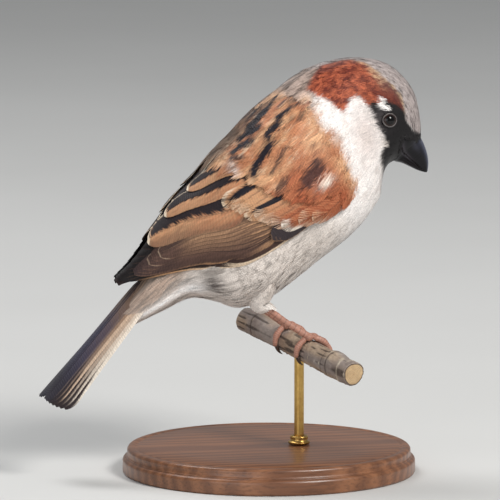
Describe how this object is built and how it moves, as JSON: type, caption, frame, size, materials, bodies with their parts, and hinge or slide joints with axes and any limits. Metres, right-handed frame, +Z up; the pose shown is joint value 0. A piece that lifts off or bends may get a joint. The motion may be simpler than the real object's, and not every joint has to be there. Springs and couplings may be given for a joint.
{
  "type": "house sparrow",
  "caption": "Adult male house sparrow at life size, perched head down on a short cut twig that a plain round display stand holds up.",
  "frame": {"origin": "centre of the underside of the display stand's round base", "axes": "+X the way the bird's body faces, +Y its left side, +Z up"},
  "size_m": [0.1207, 0.09, 0.1274],
  "materials": {
    "head_plumage": "short matt feathers, grey crown, chestnut band, black lores and white cheek",
    "body_plumage": "soft matt feathers, streaked rufous back, grey-white belly",
    "wing_plumage": "smooth feathers with dark centres and buff or rufous edges",
    "tail_plumage": "smooth dark brown feathers with buff edges",
    "bill": "black horn, satin",
    "eye": "dark brown, wet gloss",
    "leg_skin": "pinkish-brown scales",
    "claw": "dark horn",
    "bark": "grey-fawn bark, rough",
    "stand_metal": "satin",
    "stand_wood": "dark satin varnish"
  },
  "bodies": {
    "root": {"head": "head_plumage", "neck": "body_plumage", "trunk": "body_plumage", "bill_upper": "bill", "bill_lower": "bill", "eye_left": "eye", "eye_right": "eye", "wing_right": "wing_plumage", "wing_left": "wing_plumage", "tail": "tail_plumage", "thigh_left": "body_plumage", "leg_left": "leg_skin", "foot_left": "leg_skin", "claw_hind_left": "claw", "claw_inner_left": "claw", "claw_middle_left": "claw", "claw_outer_left": "claw", "thigh_right": "body_plumage", "leg_right": "leg_skin", "foot_right": "leg_skin", "claw_hind_right": "claw", "claw_inner_right": "claw", "claw_middle_right": "claw", "claw_outer_right": "claw", "perch": "bark", "stand_rod": "stand_metal", "stand_collar": "stand_metal", "stand_base": "stand_wood"}
  },
  "joints": []
}
